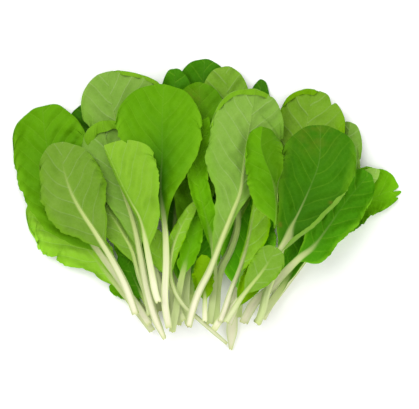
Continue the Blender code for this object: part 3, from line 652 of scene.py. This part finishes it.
def finish_values(look, p):
    """What a leaf's finish reads at each point of its grid: 1 is fully so and 0 not at all."""
    blade = along_leaf(p)
    if p["bare"] < 10.0:
        blade = np.maximum(blade, NO_STALK)
    edge, rib = np.abs(p["across"]), np.abs(p["offset"]) / p["rib"]
    # Above, the midrib shows as a narrow line; below, as its whole round back
    below = (1.0 - smooth(rib, 0.75, 1.35)) * (1.0 - smooth(blade, 0.15, 0.9))
    line = look.midrib * (1.0 - smooth(rib, 0.1, 0.8)) * (1.0 - 0.92 * np.clip(blade / 0.55, 0.0, 1.0))
    above = below + (line - below) * smooth(blade, -0.02, 0.3)
    stalk = 1.0 - smooth(blade, -0.12, 0.03)
    even = np.ones(blade.shape)
    return {
        "edge": edge,
        "blade": blade,
        "above": np.maximum(above, stalk),
        "below": np.maximum(below, stalk),
        # The stalk's green in its middle, partly its own and partly painted green light of shade deep in the
        # bunch, rising to painted shade on its rounded sides
        "green_and_flank_shade": look.green + (0.55 - look.green) * smooth(rib, 0.45, 1.1),
        # Painted shade: the upper side darkens beside the midrib, towards the stalk, as the valley along it
        # lies in shade
        "hollow": look.hollow * (1.0 - smooth(edge, 0.0, 0.65)) * (1.0 - smooth(blade, 0.3, 0.92)),
        # The blade's brightness, partly its own and partly painted light, with the painted shade and light of
        # each half
        "tone": look.tone + np.where(p["offset"] < 0.0, *look.halves),
        "fresh": look.fresh * even,
    }


def lay_out_grain(mesh, offset, where):
    """A map in real size: decimetres across the leaf and along it."""
    layer = mesh.uv_layers.active
    corner = np.zeros(len(mesh.loops), dtype=np.int32)
    mesh.loops.foreach_get("vertex_index", corner)
    uv = np.stack([offset[corner], where[corner]], axis=1) / 100.0
    layer.uv.foreach_set("vector", uv.astype(np.float32).ravel())


def linear(hex_colour):
    """A hex sRGB colour as linear light."""
    parts = [int(hex_colour[k:k + 2], 16) / 255.0 for k in (1, 3, 5)]
    return tuple(c / 12.92 if c <= 0.04045 else ((c + 0.055) / 1.055) ** 2.4 for c in parts) + (1.0,)


def add_node(tree, kind, inputs=None, **settings):
    """A shader node with its settings, and a value or another node's output on each input."""
    node = tree.nodes.new("ShaderNode" + kind)
    for name, value in settings.items():
        setattr(node, name, value)
    for key, value in (inputs or {}).items():
        if isinstance(value, bpy.types.NodeSocket):
            tree.links.new(value, node.inputs[key])
        else:
            node.inputs[key].default_value = value
    return node


def leaf_tissue(name, colours, bright, vein_bright):
    """Fresh leaf, grown, satin with a thin wax: green above, greyer and matt below, cream in the stalk."""
    material = bpy.data.materials.new(name)
    material.use_nodes = True
    tree = material.node_tree
    tree.nodes.clear()
    read = {key: add_node(tree, "Attribute", attribute_name=key).outputs["Fac"]
            for key in ("vein", "edge", "blade", "skin", "pale", "green_and_flank_shade", "hollow", "tone", "fresh", "stain")}
    grain = add_node(tree, "UVMap").outputs["UV"]
    place = add_node(tree, "TexCoord").outputs["Object"]

    def paint(key):
        return (*getattr(colours, key), 1.0)

    # Side veins about 1 mm wide that fade to the margin, and a net of fine ones 3 mm apart
    beside = add_node(tree, "Math", {0: read["vein"], 1: 0.5}, operation="PINGPONG").outputs[0]
    line = add_node(tree, "MapRange", {"Value": beside, "From Min": 0.0, "From Max": 0.09,
                                       "To Min": 1.0, "To Max": 0.0},
                    interpolation_type="SMOOTHSTEP").outputs[0]
    fade = add_node(tree, "MapRange", {"Value": read["edge"], "From Min": 0.25, "From Max": 0.95,
                                       "To Min": 1.0, "To Max": 0.25}).outputs[0]
    vein = add_node(tree, "Math", {0: line, 1: fade}, operation="MULTIPLY").outputs[0]
    warp = add_node(tree, "TexNoise", {"Vector": grain, "Scale": 60.0, "Detail": 2.0})
    bent = add_node(tree, "Mix", {"Factor": 0.02, 6: grain, 7: warp.outputs["Color"]},
                    data_type="RGBA", blend_type="ADD").outputs[2]
    cells = add_node(tree, "TexVoronoi", {"Vector": bent, "Scale": 30.0},
                     feature="DISTANCE_TO_EDGE").outputs["Distance"]
    net = add_node(tree, "MapRange", {"Value": cells, "From Min": 0.02, "From Max": 0.16,
                                      "To Min": 1.0, "To Max": 0.0}).outputs[0]

    # Broad patches, 40 mm and 8 mm across, as leaves green unevenly
    patch, mottle = (
        add_node(tree, "TexNoise", {"Vector": place, "Scale": scale, "Detail": 3.0}).outputs["Fac"]
        for scale in (25.0, 130.0))
    shade = add_node(tree, "Math", {0: patch, 1: 0.6, 2: 0.18}, operation="MULTIPLY_ADD").outputs[0]
    shade = add_node(tree, "Math", {0: mottle, 1: 0.25, 2: shade}, operation="MULTIPLY_ADD").outputs[0]
    spread = add_node(tree, "MapRange", {"Value": shade, "From Min": 0.3, "From Max": 0.9}).outputs[0]

    # Each side's patches, then its veins, which show more below
    sides = []
    for side, vein_colour, vein_share, net_share in ((bright, vein_bright, 0.2, 0.04),
                                                     ("under", "vein_under", 0.36, 0.06)):
        colour = add_node(tree, "Mix", {"Factor": spread, 6: paint(side + "_deep"), 7: paint(side)},
                          data_type="RGBA").outputs[2]
        shown = add_node(tree, "Math", {0: vein, 1: vein_share}, operation="MULTIPLY").outputs[0]
        shown = add_node(tree, "Math", {0: net, 1: net_share, 2: shown}, operation="MULTIPLY_ADD").outputs[0]
        sides.append(add_node(tree, "Mix", {"Factor": shown, 6: colour, 7: paint(vein_colour)},
                              data_type="RGBA").outputs[2])

    # The stalk: cream at the cut, greener towards the blade, with fibres that run along it
    stretched = add_node(tree, "Mapping", {"Vector": grain, "Scale": (90.0, 4.0, 1.0)}).outputs[0]
    fibre = add_node(tree, "TexNoise", {"Vector": stretched, "Scale": 1.0, "Detail": 2.0}).outputs["Fac"]
    upwards = add_node(tree, "MapRange", {"Value": read["blade"], "From Min": -0.65,
                                          "From Max": 0.25}).outputs[0]
    ramp = add_node(tree, "Math", {0: fibre, 1: 0.5, 2: upwards}, operation="MULTIPLY_ADD").outputs[0]
    ramp = add_node(tree, "Math", {0: ramp, 1: 0.25}, operation="SUBTRACT").outputs[0]
    cut = add_node(tree, "MapRange", {"Value": read["blade"], "From Min": -1.0, "From Max": -0.93,
                                      "To Min": 0.75, "To Max": 0.0}).outputs[0]
    margin = add_node(tree, "MapRange", {"Value": read["edge"], "From Min": 0.75, "From Max": 1.0,
                                         "To Min": 0.0, "To Max": 0.45}).outputs[0]
    spotted = add_node(tree, "MapRange", {"Value": mottle, "From Min": 0.35, "From Max": 0.6}).outputs[0]
    spotted = add_node(tree, "Math", {0: spotted, 1: read["stain"]}, operation="MULTIPLY").outputs[0]

    # Colours laid over each other: the two sides of the blade, the stalk, then both and the stains
    upper, blade, stalk = sides[0], sides[1], paint("stalk")
    # Painted shade in the valley beside the midrib, on the upper side
    upper = add_node(tree, "Mix", {"Factor": read["hollow"], 6: upper, 7: paint(bright + "_hollow")},
                     data_type="RGBA").outputs[2]
    for factor, over in ((read["skin"], upper), (margin, paint("margin"))):
        blade = add_node(tree, "Mix", {"Factor": factor, 6: blade, 7: over}, data_type="RGBA").outputs[2]
    # The blade's brightness, partly painted light for leaves in the shade of others, and its strength of
    # colour
    value, strong = (add_node(tree, "Math", {0: read[key], 1: 1.0}, operation="ADD").outputs[0]
                     for key in ("tone", "fresh"))
    blade = add_node(tree, "HueSaturation", {"Saturation": strong, "Value": value,
                                             "Color": blade}).outputs[0]
    # Over the stalk's cream: its midrib, its greener sides of painted shade, and its cut end
    for factor, over in ((ramp, "rib"), (read["green_and_flank_shade"], "green_and_flank_shade"), (cut, "cut")):
        stalk = add_node(tree, "Mix", {"Factor": factor, 6: stalk, 7: paint(over)},
                         data_type="RGBA").outputs[2]
    colour = blade
    for factor, over in ((read["pale"], stalk), (spotted, paint("stain"))):
        colour = add_node(tree, "Mix", {"Factor": factor, 6: colour, 7: over}, data_type="RGBA").outputs[2]

    # Veins stand out below and sink in above
    way = add_node(tree, "MapRange", {"Value": read["skin"], "To Min": 1.0, "To Max": -0.7}).outputs[0]
    relief = add_node(tree, "Math", {0: net, 1: 0.15, 2: vein}, operation="MULTIPLY_ADD").outputs[0]
    relief = add_node(tree, "Math", {0: relief, 1: way}, operation="MULTIPLY").outputs[0]
    relief = add_node(tree, "Math", {0: mottle, 1: 0.5, 2: relief}, operation="MULTIPLY_ADD").outputs[0]
    relief = add_node(tree, "Mix", {"Factor": read["pale"], 2: relief, 3: fibre}).outputs[0]
    bump = add_node(tree, "Bump", {"Strength": 0.55, "Distance": 0.0006, "Height": relief}).outputs[0]
    rough = add_node(tree, "MapRange", {"Value": read["skin"], "To Min": 0.65, "To Max": 0.55}).outputs[0]
    surface = add_node(tree, "BsdfPrincipled", {"Base Color": colour, "Roughness": rough, "Normal": bump,
                                                "IOR": 1.4, "Specular IOR Level": 0.06})
    add_node(tree, "OutputMaterial", {"Surface": surface.outputs[0]})
    return material


def leaf_materials(colours):
    """The finish of each of the record's material slots: its name, upper colour and upper veins."""
    return {slot: leaf_tissue(name, colours, bright, vein) for slot, name, bright, vein in (
        ("leaf_green", "Fresh leaf, bright", "upper", "vein_upper"),
        ("leaf_pale", "Fresh leaf, pale back", "pale", "vein_upper"),
        ("leaf_dark", "Fresh leaf, dark", "dark", "vein_upper"),
        ("leaf_young", "Young leaf, light", "young", "vein_under"))}


def plain_finish(name, colour, roughness):
    """Matt painted board for the floor, even and pale."""
    material = bpy.data.materials.new(name)
    material.use_nodes = True
    shader = material.node_tree.nodes["Principled BSDF"]
    shader.inputs["Base Color"].default_value = colour
    shader.inputs["Roughness"].default_value = roughness
    return material


class BunchSizes(bpy.types.PropertyGroup):
    """How thick, veined and waved the leaves are, and how finely they are modelled"""

    blade: FloatProperty(name="Blade", description="Thickness of a blade", default=0.5 * MM, unit="LENGTH")
    vein_spacing: FloatProperty(name="Vein spacing", description="Distance between side veins at the midrib",
                                default=13.0 * MM, unit="LENGTH")
    pucker: FloatProperty(name="Pucker", description="Swelling of the blade between its veins",
                          default=0.8 * MM, unit="LENGTH")
    billow: FloatProperty(name="Billow", description="Height of the broad soft waves of a blade",
                          default=2.4 * MM, unit="LENGTH")
    ruffle: FloatProperty(name="Ruffle", description="Height of the small waves of a margin",
                          default=1.0 * MM, unit="LENGTH")
    row_steps: IntProperty(name="Row steps", description="Fine rows for each frame row", default=9, min=4)
    wing_steps: IntProperty(name="Wing steps", description="Fine columns over half a blade", default=26, min=8)


def colour_property(name, description, hex_colour):
    """A colour that the sidebar shows, from its hex value."""
    return FloatVectorProperty(name=name, description=description, subtype="COLOR", size=3,
                               min=0.0, max=1.0, default=linear(hex_colour)[:3])


class BunchColours(bpy.types.PropertyGroup):
    """Colours of the leaves and stalks"""

    upper: colour_property("Upper side", "Upper side of a leaf in full light", "#5E9704")
    upper_deep: colour_property("Upper side, deep", "Darker patches of the upper side", "#4D8603")
    # Painted shade: the upper side beside the midrib, in the valley along it
    upper_hollow: colour_property("Upper side, hollow", "Upper side close to the midrib", "#306802")
    # The dark leaf's greens are partly its own, darker as older leaves are, and partly painted shade for
    # leaves that lie low in the bunch
    dark: colour_property("Dark leaf", "Upper side of an old, dark leaf", "#3E7D03")
    dark_deep: colour_property("Dark leaf, deep", "Darker patches of a dark leaf", "#326803")
    # Painted shade: a dark leaf beside the midrib, in the valley along it
    dark_hollow: colour_property("Dark leaf, hollow", "That side close to the midrib", "#2A5D02")
    young: colour_property("Young leaf", "Upper side of a young leaf", "#80AD2E")
    young_deep: colour_property("Young leaf, deep", "Darker patches of a young leaf", "#709E1D")
    # Painted shade: a young leaf beside the midrib, in the valley along it
    young_hollow: colour_property("Young leaf, hollow", "That side close to the midrib", "#6E9B1F")
    pale: colour_property("Pale leaf", "Upper side of a pale leaf, seen where it rolls", "#74A41C")
    pale_deep: colour_property("Pale leaf, deep", "Darker patches of that side", "#5E9010")
    # Painted shade: a pale leaf's upper side beside the midrib, in the valley along it
    pale_hollow: colour_property("Pale leaf, hollow", "That side close to the midrib", "#5E9010")
    under: colour_property("Underside", "Underside of a leaf", "#84A848")
    under_deep: colour_property("Underside, deep", "Darker patches of the underside", "#629024")
    vein_upper: colour_property("Veins above", "Side veins on the upper side", "#7BAF28")
    vein_under: colour_property("Veins below", "Side veins on the underside", "#9CBA70")
    margin: colour_property("Margin", "Thin edge of a blade", "#73AB19")
    stalk: colour_property("Stalk", "Stalk near its cut end", "#E4DFC4")
    rib: colour_property("Midrib", "Midrib towards the tip", "#B9C67C")
    # Painted shade on a stalk's rounded sides, and the green of stalks deep in the bunch
    green_and_flank_shade: colour_property("Stalk flank", "Greener sides of a stalk", "#9FC052")
    cut: colour_property("Cut end", "Cut end of a stalk", "#BAC677")
    stain: colour_property("Stain", "Bruised or drying patches", "#716C1D")


class BunchStage(bpy.types.PropertyGroup):
    """Camera and light"""

    distance: FloatProperty(name="Camera distance", description="Height of the camera above the surface",
                            default=2.4, unit="LENGTH")
    focus_height: FloatProperty(name="Focus height", description="Height at which a pixel has its stated size",
                                default=0.025, unit="LENGTH")
    key_power: FloatProperty(name="Key light", description="Watts of the large soft light", default=22.0)
    fill_power: FloatProperty(name="Fill light", description="Watts of the low fill light", default=10.5)
    sky: FloatProperty(name="Sky", description="Brightness of the even light all round", default=0.80)


MATERIALS = {}


def build_group(context, group):
    """Models the leaves of one group."""
    scene, looks = context.scene, FINISHES[group]
    if not MATERIALS:
        MATERIALS.update(leaf_materials(scene.bunch_colours))
    for one in LEAVES:
        if one.name in looks:
            leaf_mesh(one, looks[one.name], scene.bunch_sizes, MATERIALS[one.slot])


class BOKCHOY_OT_front_leaves(bpy.types.Operator):
    """Models the leaves at the front of the bunch"""

    bl_idname = "bokchoy.front_leaves"
    bl_label = "Front Leaves"

    def execute(self, context):
        build_group(context, "front")
        return {"FINISHED"}


class BOKCHOY_OT_side_leaves(bpy.types.Operator):
    """Models the leaves that spread to both sides"""

    bl_idname = "bokchoy.side_leaves"
    bl_label = "Side Leaves"

    def execute(self, context):
        build_group(context, "side")
        return {"FINISHED"}


class BOKCHOY_OT_top_leaves(bpy.types.Operator):
    """Models the pale leaves along the top of the fan"""

    bl_idname = "bokchoy.top_leaves"
    bl_label = "Top Leaves"

    def execute(self, context):
        build_group(context, "top")
        return {"FINISHED"}


class BOKCHOY_OT_back_leaves(bpy.types.Operator):
    """Models the dark leaves at the back"""

    bl_idname = "bokchoy.back_leaves"
    bl_label = "Back Leaves"

    def execute(self, context):
        build_group(context, "back")
        return {"FINISHED"}


class BOKCHOY_OT_inner_leaves(bpy.types.Operator):
    """Models the small leaves between the stalks"""

    bl_idname = "bokchoy.inner_leaves"
    bl_label = "Inner Leaves"

    def execute(self, context):
        build_group(context, "inner")
        return {"FINISHED"}


class BOKCHOY_OT_stage(bpy.types.Operator):
    """Adds the pale floor, the soft lights and the camera that looks down"""

    bl_idname = "bokchoy.stage"
    bl_label = "Stage"

    def execute(self, context):
        scene, stage = context.scene, context.scene.bunch_stage
        scene.view_settings.view_transform = "Standard"
        bpy.ops.object.select_all(action="DESELECT")
        bpy.ops.mesh.primitive_plane_add(size=12.0, location=(0.0, 0.0, 0.0))
        floor = context.object
        floor.name = "floor"
        floor.data.materials.append(plain_finish("Painted board, white", linear("#FFFFFF"), 0.9))
        world = bpy.data.worlds.new("Even sky")
        world.use_nodes = True
        sky = world.node_tree.nodes["Background"]
        sky.inputs["Color"].default_value = linear("#FFFFFF")
        sky.inputs["Strength"].default_value = stage.sky
        scene.world = world
        for name, power, size, place in (("key light", stage.key_power, 1.4, (-0.6, 0.75, 1.7)),
                                         ("fill light", stage.fill_power, 1.6, (1.0, -0.9, 1.3))):
            bpy.ops.object.light_add(type="AREA", location=place)
            light = context.object
            light.name = name
            light.data.energy, light.data.size = power, size
            light.rotation_euler = (-Vector(place)).to_track_quat("-Z", "Y").to_euler()
        self.add_camera(context, stage)
        return {"FINISHED"}

    def add_camera(self, context, stage):
        """A long lens straight above the middle of the photograph's frame."""
        x, y = ((PHOTO_MIDDLE[k] - CENTRE[k]) * MM for k in (0, 1))
        bpy.ops.object.camera_add(location=(x, y, stage.distance), rotation=(0.0, 0.0, 0.0))
        camera = context.object
        camera.name = "camera"
        wide = PHOTO_SIZE[0] * PIXEL * MM
        camera.data.sensor_fit = "HORIZONTAL"
        camera.data.lens = camera.data.sensor_width * (stage.distance - stage.focus_height) / wide
        camera.data.clip_end = 20.0
        context.scene.camera = camera


STEPS = (BOKCHOY_OT_front_leaves, BOKCHOY_OT_side_leaves, BOKCHOY_OT_top_leaves, BOKCHOY_OT_back_leaves,
         BOKCHOY_OT_inner_leaves, BOKCHOY_OT_stage)


class BOKCHOY_PT_bunch(bpy.types.Panel):
    """The steps that make the bunch, and their settings"""

    bl_label = "Bok Choy Bunch"
    bl_idname = "BOKCHOY_PT_bunch"
    bl_space_type = "VIEW_3D"
    bl_region_type = "UI"
    bl_category = "Bok Choy"

    def draw(self, context):
        layout = self.layout
        for settings in (context.scene.bunch_sizes, context.scene.bunch_colours, context.scene.bunch_stage):
            box = layout.box()
            for name in settings.__annotations__:
                box.prop(settings, name)
        for step in STEPS:
            layout.operator(step.bl_idname)


CLASSES = (BunchSizes, BunchColours, BunchStage, *STEPS, BOKCHOY_PT_bunch)


def register():
    for cls in CLASSES:
        bpy.utils.register_class(cls)
    bpy.types.Scene.bunch_sizes = PointerProperty(type=BunchSizes)
    bpy.types.Scene.bunch_colours = PointerProperty(type=BunchColours)
    bpy.types.Scene.bunch_stage = PointerProperty(type=BunchStage)


def unregister():
    for name in ("bunch_sizes", "bunch_colours", "bunch_stage"):
        delattr(bpy.types.Scene, name)
    for cls in reversed(CLASSES):
        bpy.utils.unregister_class(cls)


def main():
    register()
    for step in STEPS:
        group, name = step.bl_idname.split(".")
        getattr(getattr(bpy.ops, group), name)()


if __name__ == "__main__":
    main()
